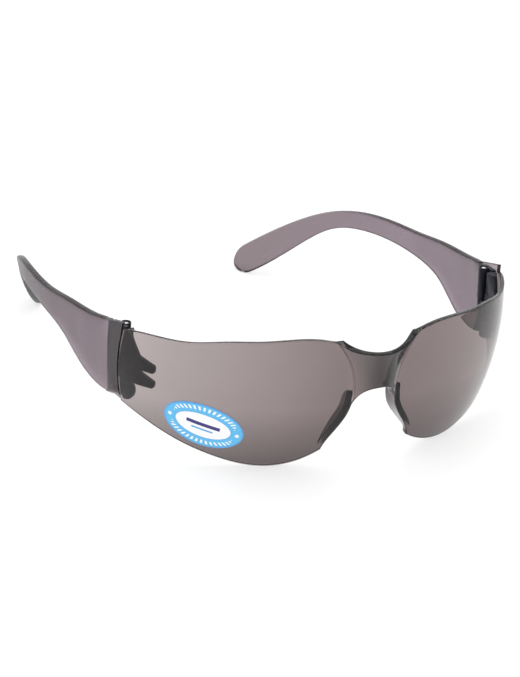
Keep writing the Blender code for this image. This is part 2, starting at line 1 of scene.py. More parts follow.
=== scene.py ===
"""Looks for the safety glasses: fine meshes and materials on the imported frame, and a white studio.

Metres, +Z up. +X is the wearer's left and +Y runs back towards the ears.
"""

from math import cos, pi, radians, sin

import bmesh
import bpy
import numpy as np
from mathutils import Matrix, Vector
from mathutils.kdtree import KDTree


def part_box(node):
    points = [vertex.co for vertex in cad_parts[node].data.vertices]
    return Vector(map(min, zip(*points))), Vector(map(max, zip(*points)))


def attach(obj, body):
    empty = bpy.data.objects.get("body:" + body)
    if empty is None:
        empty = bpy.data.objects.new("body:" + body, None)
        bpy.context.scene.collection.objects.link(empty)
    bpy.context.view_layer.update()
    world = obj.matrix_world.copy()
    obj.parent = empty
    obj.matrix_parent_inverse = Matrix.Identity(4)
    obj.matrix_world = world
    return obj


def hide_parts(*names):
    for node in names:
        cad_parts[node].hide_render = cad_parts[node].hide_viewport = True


MM = 0.001

# Lens
LENS_NOSE_THICKNESS = 2.3 * MM
LENS_END_THICKNESS = 1.15 * MM
BRIDGE_THICKNESS = 1.5 * MM
PANE_RADIUS_ACROSS = 61.45 * MM
PANE_RADIUS_UP = 91.8 * MM
PANE_AXIS_X = 11.85 * MM
PANE_AXIS_Y = 62.05 * MM
PANE_MIDDLE_Z = 26.3 * MM
PANE_TILT = radians(8.45)
NOSE_EDGE_ACROSS = [a * MM for a in (2.9, -1.7, -3.9, -4.3, -3.0, 0.9, 3.9)]
END_EDGE_ACROSS = [a * MM for a in (76.05, 76.4, 74.95)]
TOP_EDGE_UP = [a * MM for a in (18.0, 19.9, 18.8, 17.3, 14.5, 12.8, 10.1)]
BOTTOM_EDGE_UP = [a * MM for a in (-21.3, -26.8, -27.8, -25.8, -22.8, -19.1, -15.7)]
CREASE_FOOT = 0.5625
CREASE_FOOT_THINNING = 0.55
CREASE_FOOT_SPREAD = 0.1
BRIDGE_TOP_Y = -5.8 * MM
BRIDGE_TOP_Z = 40.65 * MM
BRIDGE_FOOT_Y = -2.8 * MM
BRIDGE_FOOT_Z = 28.1 * MM
BRIDGE_HOLLOW = 0.8 * MM
BRIDGE_ROUNDNESS_TOP = (1.4, 0.35)
BRIDGE_ROUNDNESS_FOOT = (1.2, 0.45)
RIM_RADIUS = 0.4 * MM
RIM_STEPS = 4
RIM_ROOM_SHARE = 0.6
RIM_SMOOTHING = 4
PANE_COLUMNS = 72
BRIDGE_COLUMNS = 16
UPPER_ROWS = 22
LOWER_ROWS = 14
EDGE_SHARE_NOSE = 0.028
EDGE_SHARE_END = 0.0085
EDGE_SHARE_UP = 0.022
EDGE_SHARE_BRIDGE = 0.05
CREASE_SAMPLES = 400
CREASE_REACH = 0.05 * MM

# Nose flanges
FLANGE_START = 0.44
FLANGE_END = 0.97
FLANGE_DEPTH = 6.2 * MM
FLANGE_LEAN = 0.18
FLANGE_START_DEPTH = 1.7 * MM
FLANGE_END_DEPTH = 1.7 * MM
FLANGE_ROUND_SHARE = 0.2
FLANGE_FADE_START = 0.5
FLANGE_FADE_POWER = 1.6
FLANGE_THICKNESS = 2.6 * MM
FLANGE_TIP_THICKNESS = 1.9 * MM
FLANGE_BURIED = 0.8 * MM
FLANGE_INSET = 0.15 * MM
FLANGE_STATIONS = 60
FLANGE_TIP_STEPS = 7
FLANGE_SLOPE_STEP = 0.01

# Hinge
HINGE_X = 66.0 * MM
HINGE_Y = 45.2 * MM
PIN_RADIUS = 0.6 * MM
PIN_HEAD_RADIUS = 1.1 * MM
PIN_HEAD_HEIGHT = 0.6 * MM
PIN_FOOT_Z = 24.2 * MM
PIN_CHAMFER = 0.1 * MM
PIN_DOME_STEPS = 8
PIN_SEGMENTS = 32
PIN_MERGE_DISTANCE = 1e-6
BORE_RADIUS = 0.85 * MM
BORE_EXTRA = 5 * MM
BARREL_RADIUS = 1.7 * MM
BARREL_FOOT_Z = 31.9 * MM
BARREL_TOP_Z = 42.6 * MM
COUNTERBORE_RADIUS = 1.35 * MM
COUNTERBORE_Z = 41.7 * MM
KNUCKLE_RADIUS = 1.45 * MM
KNUCKLE_FOOT_Z = 24.6 * MM
KNUCKLE_TOP_Z = 31.6 * MM
NECK_REACH = (1.1 * MM, 0.5 * MM, 3.0 * MM)
HINGE_GAP = 0.3 * MM
FORK_OUTLINE = [
    (75.8, 9.9), (73.8, 9.4), (68.9, 3.3), (62.9, 2.0), (62.5, 1.3), (62.5, -0.3), (63.1, -0.8), (69.4, -1.4),
    (73.2, -1.0), (73.0, -1.8), (68.3, -1.9), (67.1, -2.3), (62.5, -3.7), (62.2, -4.2), (62.3, -5.7),
    (62.9, -6.2), (69.0, -7.1), (72.7, -6.7), (72.5, -7.5), (70.9, -7.9), (70.1, -9.0), (69.9, -10.8),
    (70.4, -12.6), (71.5, -14.0), (72.9, -14.8), (74.2, -15.1), (74.7, -15.0), (75.1, -13.0), (75.6, -9.2),
    (76.1, -2.8), (76.1, 3.6),
]
FORK_GAP = 0.3 * MM
FORK_TIP_THICKNESS = 1.2 * MM
FORK_BASE_THICKNESS = 3.1 * MM
FORK_TAPER = (72.6 * MM, 75.8 * MM)
FORK_EDGE_STEP = 0.9 * MM
HINGE_EDGE_RADIUS = 0.14 * MM
HINGE_EDGE_SEGMENTS = 2
HINGE_EDGE_ANGLE = radians(35)
ROUND_SEGMENTS = 48

# Temples
PARTING_GAP = 0.35 * MM
TEMPLE_LENGTH = 129.7 * MM
TEMPLE_OUTER_X = 70.2 * MM
TEMPLE_SWEEP = [a * MM for a in (9.2, -5.3, -23.0, -10.3)]
TEMPLE_MIDDLE_Z = [a * MM for a in (31.6, 29.4, 32.4, 33.0, 32.9, 31.7, 27.1, 15.9, 2.3)]
TEMPLE_WIDTH = [a * MM for a in (22.2, 22.8, 14.1, 8.9, 7.2, 6.4, 6.4, 9.8, 9.6)]
TEMPLE_THICKNESS = 2.5 * MM
TEMPLE_SKIN = 1.2 * MM
TEMPLE_EDGE_RADIUS = 0.7 * MM
SKIN_EDGE_RADIUS = 0.3 * MM
TEMPLE_SLOPE_STEP = 0.004
TEMPLE_TIP_BLUNTNESS = 0.004
TEMPLE_FRONT_TOP_Z = 44.6 * MM
TEMPLE_FRONT_FOOT_Z = 17.5 * MM
TEMPLE_BOW_MIDDLE_Z = 33.0 * MM
TEMPLE_BOW_FADE = 0.3
TEMPLE_FRONT_BLEND = 0.045
TEMPLE_FRONT_STATIONS = 16
TEMPLE_STATIONS = 70
TIP_STATIONS = 14
BLADE_LEVELS = 7
BLADE_CORNER_STEPS = 4
TIP_START = 0.955
PARTING_SAMPLES = 24
INSERT_BACK_Y = 49.8 * MM
INSERT_BACK_LEAN = 2.9 * MM
INSERT_GAP = 0.3 * MM
INSERT_THICKNESS = 1.5 * MM
INSERT_EDGE_INSET = 0.35 * MM
INSERT_TOP_Z = 42.5 * MM
INSERT_NOTCH_Z = 30.2 * MM
INSERT_NOTCH_SIZE = 0.8 * MM
INSERT_NOTCH_REACH = (3 * MM, 6 * MM, 3 * MM)
INSERT_TRIM_REACH = (8 * MM, 8 * MM, 10 * MM)

# Sticker
LABEL_ACROSS = 43.9 * MM
LABEL_UP = -13.3 * MM
LABEL_HALF_LENGTH = 13.3 * MM
LABEL_HALF_HEIGHT = 8.0 * MM
LABEL_SLANT = radians(9.0)
LABEL_GAP = 0.2 * MM
LABEL_THICKNESS = 0.2 * MM
LABEL_SEGMENTS = 96
LABEL_RINGS = 12
LABEL_WINDOW = (9.3 / 13.3, 4.5 / 8.0)

# The sticker's print, in millimetres from its middle
PRINT_RIM = 0.45
PRINT_WINDOW = (9.2, 4.4)
PRINT_WINDOW_EDGE = (9.45, 4.65)
PRINT_SOFTNESS = 0.012
DASH_COUNT = 44
DASH_SPAN = (0.28, 0.72)
DASH_MIDDLE = (11.3, 6.3)
DASH_BAND_OUTSIDE = (12.2, 7.05)
DASH_BAND_INSIDE = (10.7, 5.7)
DASH_END_X = 10.2
DOT_X = 11.3
DOT_RADIUS = 0.62
DOT_SOFTNESS = 0.15
UPPER_BAR = (-5.6, 5.6, -0.15, 1.15)
LOWER_BAR = (-3.6, 3.6, -1.75, -1.1)
PRINT_BLUES = ((0.098, 0.479, 0.831), (0.130, 0.540, 0.880))
PRINT_WHITES = ((0.93, 0.93, 0.95), (1.0, 1.0, 1.0))
PRINT_EDGE_BLUE = (0.10, 0.38, 0.80)
PRINT_NAVY = (0.035, 0.03, 0.20)
PRINT_BAR_BLUE = (0.10, 0.40, 0.78)

# Angles under which neighbouring faces are shaded smooth, in degrees
LENS_SMOOTH = 32
MOULDED_SMOOTH = 30
ROUND_SMOOTH = 40
LABEL_SMOOTH = 60

# Lens look
LENS_LET_THROUGH = (0.267, 0.217, 0.219)
LENS_LET_THROUGH_DEPTH = 2.2 * MM
LENS_HAZE = ((0.965, 0.955, 0.955), (1.0, 0.995, 0.99))
# Painted shade: the lens is darker towards its bottom
LOW_PAINTED_SHADE = (0.5, 0.5, 0.5)
LOW_PAINTED_SHADE_FOOT_Z = 2.0 * MM
LOW_PAINTED_SHADE_TOP_Z = 22.0 * MM
# Painted shade in the middle of the bridge
BRIDGE_PAINTED_SHADE = (0.17, 0.165, 0.16)
# A painted shade line along the folds between bridge and panes, and its width
CREASE_PAINTED_SHADE_LINE = (0.3, 0.29, 0.29)
CREASE_LINE_CORE = 0.004
CREASE_LINE_SHARE = 0.03
CREASE_FIT_SAMPLES = 24
CREASE_FIT_DEGREE = 4
# Painted shade on the nose flanges, near the nose and from a little way behind the nose edge
FLANGE_PAINTED_SHADE = (0.3, 0.3, 0.31)
FLANGE_PAINTED_SHADE_X = 15.0 * MM
FLANGE_PAINTED_SHADE_START = 2.5 * MM
FLANGE_PAINTED_SHADE_END = 3.2 * MM
FLANGE_FIT_DEGREE = 2

# Temple look
TEMPLE_LET_THROUGH = (0.395, 0.335, 0.37)
TEMPLE_GRAIN = ((0.88, 0.84, 0.87), (1.0, 0.97, 0.99))
# Painted shade towards the temple's ear tip
TIP_PAINTED_SHADE = (0.66, 0.64, 0.62)
TIP_PAINTED_SHADE_START_Y = 15 * MM
TIP_PAINTED_SHADE_END_Y = 90 * MM

# Other looks
DENSITY_MARGIN = 1.05
NYLON_BLACKS = ((0.006, 0.007, 0.013), (0.014, 0.015, 0.024))
STEEL_TINTS = ((0.62, 0.59, 0.53), (0.86, 0.83, 0.77))
LABEL_BACK_GREYS = ((0.55, 0.56, 0.57), (0.68, 0.69, 0.70))
FLOOR_GREYS = ((0.30, 0.30, 0.298), (0.32, 0.32, 0.318))
FLOOR_GLOW = 0.66

# Studio
FLOOR_HALF_SIZE = 6.0
FLOOR_SEGMENTS = 8
FLOOR_DROP = 0.02 * MM
SKY_STRENGTH = 0.95
SOFTBOX_PLACE = (0.0, 0.1, 1.3)
SOFTBOX_TARGET = (0.0, -0.02, 0.02)
SOFTBOX_SIZE = 1.6
SOFTBOX_RADIANCE = 1.2
CAMERA_AZIMUTH = radians(-28.332)
CAMERA_ELEVATION = radians(22.009)
CAMERA_ROLL = radians(2.335)
CAMERA_TARGET = (-15.3, 50.0, 27.34)
CAMERA_DISTANCE = 952.92 * MM
CAMERA_LENS = 155.65
CAMERA_SENSOR = 36.0
CAMERA_CLIP_START = 0.01

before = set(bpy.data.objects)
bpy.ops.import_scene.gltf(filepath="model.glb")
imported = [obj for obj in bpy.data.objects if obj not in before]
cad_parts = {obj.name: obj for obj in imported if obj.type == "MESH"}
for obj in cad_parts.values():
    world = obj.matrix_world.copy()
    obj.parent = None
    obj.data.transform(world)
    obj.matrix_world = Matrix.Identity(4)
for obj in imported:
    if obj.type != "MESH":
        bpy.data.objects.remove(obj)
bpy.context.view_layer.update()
pin_low, pin_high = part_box("hinge_pin_left")
ORIGIN = Vector((0.0, (pin_low.y + pin_high.y) / 2 - HINGE_Y, pin_low.z - PIN_FOOT_Z))


# Curves and surfaces

class Spline:
    """The cubic spline through evenly spaced knots, read at t from 0 to 1."""

    def __init__(self, knots):
        self.knots = knots
        count = len(knots)
        rows = np.zeros((count, count))
        bends = np.zeros(count)
        rows[0, :3] = rows[-1, -3:] = (1, -2, 1)
        for i in range(1, count - 1):
            rows[i, i - 1:i + 2] = (1, 4, 1)
            bends[i] = 6 * (knots[i - 1] - 2 * knots[i] + knots[i + 1])
        self.curvature = np.linalg.lstsq(rows, bends, rcond=None)[0].tolist()

    def __call__(self, t):
        place = t * (len(self.knots) - 1)
        i = min(max(int(place), 0), len(self.knots) - 2)
        s = place - i
        straight = (1 - s) * self.knots[i] + s * self.knots[i + 1]
        bend = ((1 - s)**3 - (1 - s)) / 6 * self.curvature[i] + (s**3 - s) / 6 * self.curvature[i + 1]
        return straight + bend


nose_edge = Spline(NOSE_EDGE_ACROSS)
end_edge = Spline(END_EDGE_ACROSS)
top_edge = Spline(TOP_EDGE_UP)
bottom_edge = Spline(BOTTOM_EDGE_UP)
temple_middle = Spline(TEMPLE_MIDDLE_Z)
temple_width = Spline(TEMPLE_WIDTH)


def mix(a, b, t):
    return a + (b - a) * t


def ease(t):
    t = min(max(t, 0.0), 1.0)
    return t * t * (3 - 2 * t)


def pane_point(across, up, depth=0.0):
    """A point of the pane on the wearer's left, depth behind its front face."""
    turn = across / PANE_RADIUS_ACROSS
    rise = up / PANE_RADIUS_UP
    upright_radius = PANE_RADIUS_UP - depth
    radius = PANE_RADIUS_ACROSS - PANE_RADIUS_UP + upright_radius * cos(rise)
    x = PANE_AXIS_X + radius * sin(turn)
    y = PANE_AXIS_Y - radius * cos(turn)
    z = upright_radius * sin(rise)
    tilted_y = y * cos(PANE_TILT) - z * sin(PANE_TILT)
    tilted_z = y * sin(PANE_TILT) + z * cos(PANE_TILT)
    return Vector((x, tilted_y, tilted_z + PANE_MIDDLE_Z))


def pane_across(s, t):
    return mix(nose_edge(t), end_edge(t), s)


def pane_patch(s, t):
    return pane_point(pane_across(s, t), mix(top_edge(s), bottom_edge(s), t))


def lens_thickness(across):
    return mix(LENS_NOSE_THICKNESS, LENS_END_THICKNESS, min(max(across / END_EDGE_ACROSS[0], 0.0), 1.0))


def bridge_thickness(s):
    """The bridge is thinnest in the middle and meets the panes at their thickness."""
    return mix(BRIDGE_THICKNESS, LENS_NOSE_THICKNESS, s**2)


def bridge_point(s, t):
    """A point of the bridge, s of the way from its middle to a fold and t of the way down the nose edge."""
    drop = t / CREASE_FOOT
    crease = pane_patch(0.0, t)
    middle_y = mix(BRIDGE_TOP_Y, BRIDGE_FOOT_Y, drop) + BRIDGE_HOLLOW * sin(pi * drop)
    middle_z = mix(BRIDGE_TOP_Z, BRIDGE_FOOT_Z, drop)
    round_y = mix(BRIDGE_ROUNDNESS_TOP[0], BRIDGE_ROUNDNESS_FOOT[0], drop)
    round_z = mix(BRIDGE_ROUNDNESS_TOP[1], BRIDGE_ROUNDNESS_FOOT[1], drop)
    y = mix(middle_y, crease.y, round_y * s**2 + (1 - round_y) * s**4)
    z = mix(middle_z, crease.z, round_z * s**2 + (1 - round_z) * s**4)
    return Vector((crease.x * s, y, z))


def temple_outer_x(t):
    return TEMPLE_OUTER_X + sum(a * t**(i + 1) for i, a in enumerate(TEMPLE_SWEEP))


# Mesh building

def mesh_from_bmesh(name, bm):
    bmesh.ops.recalc_face_normals(bm, faces=bm.faces)
    mesh = bpy.data.meshes.new(name)
    bm.to_mesh(mesh)
    bm.free()
    return mesh


def loft(name, sections):
    """A closed solid through closed sections; the caps are ladders of quads between the two sides."""
    bm = bmesh.new()
    rings = [[bm.verts.new(p) for p in section] for section in sections]
    for ring, following in zip(rings, rings[1:]):
        for i in range(len(ring)):
            j = (i + 1) % len(ring)
            bm.faces.new((ring[i], ring[j], following[j], following[i]))
    last = len(sections[0]) - 1
    for ring in (rings[0], rings[-1]):
        for i in range(last // 2):
            bm.faces.new((ring[i], ring[i + 1], ring[last - i - 1], ring[last - i]))
    return mesh_from_bmesh(name, bm)


def mirrored(mesh):
    bm = bmesh.new()
    bm.from_mesh(mesh)
    bmesh.ops.transform(bm, matrix=Matrix.Scale(-1, 4, (1, 0, 0)), verts=bm.verts)
    bmesh.ops.reverse_faces(bm, faces=bm.faces)
    flipped = bpy.data.meshes.new(mesh.name)
    bm.to_mesh(flipped)
    bm.free()
    return flipped


def upright_cylinder(radius, foot, top):
    bm = bmesh.new()
    place = Matrix.Translation((HINGE_X, HINGE_Y, (foot + top) / 2))
    bmesh.ops.create_cone(bm, cap_ends=True, segments=ROUND_SEGMENTS, radius1=radius, radius2=radius,
                          depth=top - foot, matrix=place)
    return mesh_from_bmesh("cylinder", bm)


def block(low, high):
    bm = bmesh.new()
    size = [b - a for a, b in zip(low, high)]
    middle = [(a + b) / 2 for a, b in zip(low, high)]
    bmesh.ops.create_cube(bm, size=1, matrix=Matrix.Translation(middle) @ Matrix.Diagonal((*size, 1)))
    return mesh_from_bmesh("block", bm)


def carve(mesh, steps, bevel=0.0):
    """The mesh after a list of (operation, tool mesh) steps, with its sharp edges rounded."""
    body = bpy.data.objects.new("carved", mesh)
    bpy.context.scene.collection.objects.link(body)
    tools = []
    for operation, tool_mesh in steps:
        tool = bpy.data.objects.new("tool", tool_mesh)
        bpy.context.scene.collection.objects.link(tool)
        tools.append(tool)
        modifier = body.modifiers.new("cut", "BOOLEAN")
        modifier.object = tool
        modifier.operation = operation
        modifier.solver = "EXACT"
    if bevel:
        modifier = body.modifiers.new("edges", "BEVEL")
        modifier.width = bevel
        modifier.segments = HINGE_EDGE_SEGMENTS
        modifier.limit_method = "ANGLE"
        modifier.angle_limit = HINGE_EDGE_ANGLE
    bpy.context.view_layer.update()
    depsgraph = bpy.context.evaluated_depsgraph_get()
    carved = bpy.data.meshes.new_from_object(body.evaluated_get(depsgraph))
    for obj in [body] + tools:
        bpy.data.objects.remove(obj)
    return carved


def place_piece(name, mesh, materials, body, node, smooth_angle):
    """A visible piece, which rides on a body and stands for a CAD node."""
    mesh.transform(Matrix.Translation(ORIGIN))
    mesh.materials.clear()
    for material in materials:
        mesh.materials.append(material)
    mesh.shade_smooth()
    mesh.set_sharp_from_angle(angle=radians(smooth_angle))
    piece = bpy.data.objects.new(name, mesh)
    bpy.context.scene.collection.objects.link(piece)
    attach(piece, body)
    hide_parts(node)


# Lens

def even_steps(start, end, count):
    return [mix(start, end, i / count) for i in range(count + 1)]


def stations_up():
    upper = even_steps(EDGE_SHARE_UP, CREASE_FOOT - EDGE_SHARE_BRIDGE, UPPER_ROWS)
    lower = even_steps(CREASE_FOOT + EDGE_SHARE_UP, 1 - EDGE_SHARE_UP, LOWER_ROWS)
    return [0.0] + upper + [CREASE_FOOT] + lower + [1.0]


def nose_edge_thickness(t):
    """The lens is thinner round the foot of each fold."""
    closeness = max(1 - abs(t - CREASE_FOOT) / CREASE_FOOT_SPREAD, 0)
    return lens_thickness(pane_across(0.0, t)) * (1 - CREASE_FOOT_THINNING * closeness)


def lens_front():
    """The lens's front face as a bmesh, both halves in one."""
    bm = bmesh.new()
    thickness = bm.verts.layers.float.new("thickness")
    ups = stations_up()
    crease_row = ups.index(CREASE_FOOT)
    pane_steps = even_steps(EDGE_SHARE_NOSE, 1 - EDGE_SHARE_END, PANE_COLUMNS) + [1.0]
    bridge_steps = even_steps(0.0, 1 - EDGE_SHARE_BRIDGE, BRIDGE_COLUMNS)[1:]

    def add_vert(place, depth):
        vert = bm.verts.new(place)
        vert[thickness] = depth
        return vert

    middle = [add_vert(bridge_point(0.0, t), bridge_thickness(0.0)) for t in ups[:crease_row + 1]]
    for side in (1, -1):
        flip = Matrix.Diagonal((side, 1, 1))
        rows = []
        for t in ups:
            row = [add_vert(flip @ pane_patch(0.0, t), nose_edge_thickness(t))]
            for s in pane_steps:
                row.append(add_vert(flip @ pane_patch(s, t), lens_thickness(pane_across(s, t))))
            rows.append(row)
        grids = [rows]
        bridge = []
        for row, t in enumerate(ups[:crease_row + 1]):
            inner = [add_vert(flip @ bridge_point(s, t), bridge_thickness(s)) for s in bridge_steps]
            bridge.append([middle[row]] + inner + [rows[row][0]])
        grids.append(bridge)
        for grid in grids:
            for upper, lower in zip(grid, grid[1:]):
                for i in range(len(upper) - 1):
                    corners = (upper[i], lower[i], lower[i + 1], upper[i + 1])
                    bm.faces.new(corners if side == 1 else corners[::-1])
    bm.normal_update()
    return bm


def boundary_loop(bm):
    """The outline's vertices in order."""
    edges = [e for e in bm.edges if e.is_boundary]
    first = edges[0]
    loop = [first.verts[0], first.verts[1]]
    used = {first}
    while True:
        following = [e for e in loop[-1].link_edges if e.is_boundary and e not in used]
        if not following:
            break
        used.add(following[0])
        loop.append(following[0].other_vert(loop[-1]))
    return loop[:-1]


def lens_shell():
    """The lens with its thickness and a rounded rim."""
    front = lens_front()
    front.verts.index_update()
    points = np.array([v.co for v in front.verts])
    normals = np.array([v.normal for v in front.verts])
    layer = front.verts.layers.float["thickness"]
    thickness = np.array([v[layer] for v in front.verts])[:, None]
    faces = [[v.index for v in f.verts] for f in front.faces]
    loop = boundary_loop(front)
    ring = [v.index for v in loop]
    rim = points[ring]
    along = np.roll(rim, -1, 0) - np.roll(rim, 1, 0)
    outward = np.cross(along, normals[ring])
    outward /= np.linalg.norm(outward, axis=1)[:, None]
    inner = np.array([np.mean([f.calc_center_median() for f in v.link_faces], axis=0) for v in loop])
    if np.mean(np.sum(outward * (rim - inner), axis=1)) < 0:
        outward = -outward
    room = []
    for place, direction, vert in zip(rim, outward, loop):
        inside = [v for f in vert.link_faces for v in f.verts if not v.is_boundary]
        room.append(min([direction @ (place - np.array(v.co)) for v in inside], default=RIM_RADIUS))
    radius = np.clip(RIM_ROOM_SHARE * np.array(room), 0.0, RIM_RADIUS)
    for _ in range(RIM_SMOOTHING):
        radius = np.minimum(radius, (np.roll(radius, 1) + radius + np.roll(radius, -1)) / 3)
    radius = radius[:, None]
    front.free()
    forward = normals[ring]
    points[ring] = rim - outward * radius
    back = points - normals * thickness
    count = len(points)
    verts = points.tolist() + back.tolist()
    rings = [ring]
    profile = []
    for i in range(1, RIM_STEPS + 1):
        angle = pi / 2 * i / RIM_STEPS
        profile.append((radius * (1 - sin(angle)), radius * (1 - cos(angle))))
    profile += [(inset, thickness[ring] - depth) for inset, depth in reversed(profile)]
    for inset, depth in profile:
        rings.append(list(range(len(verts), len(verts) + len(ring))))
        verts += (rim - outward * inset - forward * depth).tolist()
    rings.append([i + count for i in ring])
    faces += [[i + count for i in reversed(face)] for face in faces]
    for near, far in zip(rings, rings[1:]):
        for i in range(len(near)):
            j = (i + 1) % len(near)
            faces.append([near[i], near[j], far[j], far[i]])
    mesh = bpy.data.meshes.new("lens")
    mesh.from_pydata(verts, [], faces)
    bm = bmesh.new()
    bm.from_mesh(mesh)
    return mesh_from_bmesh("lens", bm)


def mark_creases(mesh):
    """Marks the folds between the bridge and the panes as sharp, on the lens's front face."""
    crease = [pane_patch(0.0, CREASE_FOOT * i / CREASE_SAMPLES) for i in range(CREASE_SAMPLES + 1)]
    low, high = crease[-1].z - CREASE_REACH, crease[0].z + CREASE_REACH
    tree = KDTree(len(crease))
    for i, point in enumerate(crease):
        tree.insert(point, i)
    tree.balance()
    for edge in mesh.edges:
        ends = [mesh.vertices[i].co - ORIGIN for i in edge.vertices]
        ends = [Vector((abs(end.x), end.y, end.z)) for end in ends]
        if all(tree.find(end)[2] < CREASE_REACH and low < end.z < high for end in ends):
            edge.use_edge_sharp = True


def flange_section(t):
    """The outline of a nose flange across the nose edge at t, with a round tip behind the lens."""
    along = (t - FLANGE_START) / (FLANGE_END - FLANGE_START)
    rounding = min(along / FLANGE_ROUND_SHARE, 1.0)
    fade = max(along - FLANGE_FADE_START, 0.0) / (1 - FLANGE_FADE_START)
    depth = mix(FLANGE_DEPTH, FLANGE_END_DEPTH, fade**FLANGE_FADE_POWER)
    depth = mix(FLANGE_START_DEPTH, depth, (1 - (1 - rounding)**2)**0.5)
    root = pane_patch(0.0, t)
    step = FLANGE_SLOPE_STEP
    down = (pane_patch(0.0, t + step) - pane_patch(0.0, t - step)).normalized()
    back = Vector((0, 1, 0))
    to_nose = down.cross(back).normalized()
    if to_nose.x > 0:
        to_nose.negate()
    radius = FLANGE_TIP_THICKNESS / 2
    middle = -FLANGE_INSET - FLANGE_THICKNESS / 2
    outline = [(-FLANGE_INSET, FLANGE_BURIED)]
    for i in range(FLANGE_TIP_STEPS + 1):
        angle = pi * i / FLANGE_TIP_STEPS
        outline.append((middle + radius * cos(angle), depth - radius + radius * sin(angle)))
    outline.append((-FLANGE_INSET - FLANGE_THICKNESS, FLANGE_BURIED))
    leaning = [(a + FLANGE_LEAN * (b - FLANGE_BURIED), b) for a, b in outline]
    return [root + to_nose * a + back * b for a, b in leaning]


def flange_mesh():
    steps = even_steps(FLANGE_START, FLANGE_END, FLANGE_STATIONS)
    return loft("nose_flange", [flange_section(t) for t in steps])


# Hinge

def fork_mesh():
    """The fork's plate, which follows the lens and thickens from the prongs' tips to the knuckle."""
    outline = [Vector((a * MM, b * MM, 0)) for a, b in FORK_OUTLINE]
    fine = []
    for start, end in zip(outline, outline[1:] + outline[:1]):
        pieces = max(1, round((end - start).length / FORK_EDGE_STEP))
        fine += [start.lerp(end, i / pieces) for i in range(pieces)]
    bm = bmesh.new()
    ring = [bm.verts.new(p) for p in fine]
    edges = [bm.edges.new((a, b)) for a, b in zip(ring, ring[1:] + ring[:1])]
    filled = bmesh.ops.triangle_fill(bm, edges=edges, use_beauty=True)
    faces = [f for f in filled["geom"] if isinstance(f, bmesh.types.BMFace)]
    raised = bmesh.ops.extrude_face_region(bm, geom=faces, use_keep_orig=True)
    upper = {v for v in raised["geom"] if isinstance(v, bmesh.types.BMVert)}
    for vert in bm.verts:
        across = vert.co.x
        taper = ease((across - FORK_TAPER[0]) / (FORK_TAPER[1] - FORK_TAPER[0]))
        thickness = mix(FORK_TIP_THICKNESS, FORK_BASE_THICKNESS, taper)
        depth = lens_thickness(across) + FORK_GAP + (thickness if vert in upper else 0.0)
        vert.co = pane_point(across, vert.co.y, depth)
    return mesh_from_bmesh("hinge_fork", bm)


def fork_piece():
    clearance = BARREL_RADIUS + HINGE_GAP
    above = BARREL_TOP_Z + BORE_EXTRA
    inward, outward, forward = NECK_REACH
    neck = block((HINGE_X - inward, HINGE_Y - forward, KNUCKLE_FOOT_Z + HINGE_GAP),
                 (HINGE_X + outward, HINGE_Y, KNUCKLE_TOP_Z - HINGE_GAP))
    steps = [
        ("UNION", neck),
        ("UNION", upright_cylinder(KNUCKLE_RADIUS, KNUCKLE_FOOT_Z, KNUCKLE_TOP_Z)),
        ("DIFFERENCE", upright_cylinder(clearance, KNUCKLE_TOP_Z, above)),
        ("DIFFERENCE", upright_cylinder(BORE_RADIUS, KNUCKLE_FOOT_Z - BORE_EXTRA, above)),
    ]
    return carve(fork_mesh(), steps, HINGE_EDGE_RADIUS)


def insert_piece():
    outer = TEMPLE_SKIN + INSERT_GAP
    inner = outer + INSERT_THICKNESS
    stations = [front_station(i / TEMPLE_FRONT_STATIONS) for i in range(TEMPLE_FRONT_STATIONS + 1)]
    sections = [blade_section(s, outer, inner, INSERT_EDGE_INSET, SKIN_EDGE_RADIUS) for s in stations]
    groove = KNUCKLE_RADIUS + HINGE_GAP
    above = BARREL_TOP_Z + BORE_EXTRA
    inward, outward, backward = INSERT_NOTCH_REACH
    notch = block((HINGE_X - inward, INSERT_BACK_Y - INSERT_NOTCH_SIZE, INSERT_NOTCH_Z),
                  (HINGE_X + outward, INSERT_BACK_Y + backward, INSERT_NOTCH_Z + INSERT_NOTCH_SIZE))
    aside, along, upward = INSERT_TRIM_REACH
    trim = block((HINGE_X - aside, HINGE_Y - along, INSERT_TOP_Z),
                 (HINGE_X + aside, HINGE_Y + along, INSERT_TOP_Z + upward))
    steps = [
        ("DIFFERENCE", trim),
        ("DIFFERENCE", upright_cylinder(groove, KNUCKLE_FOOT_Z - HINGE_GAP, BARREL_FOOT_Z)),
        ("UNION", upright_cylinder(BARREL_RADIUS, BARREL_FOOT_Z, BARREL_TOP_Z)),
        ("DIFFERENCE", notch),
        ("DIFFERENCE", upright_cylinder(COUNTERBORE_RADIUS, COUNTERBORE_Z, above)),
        ("DIFFERENCE", upright_cylinder(BORE_RADIUS, KNUCKLE_FOOT_Z - BORE_EXTRA, above)),
    ]
    return carve(loft("temple_hinge", sections), steps, HINGE_EDGE_RADIUS)


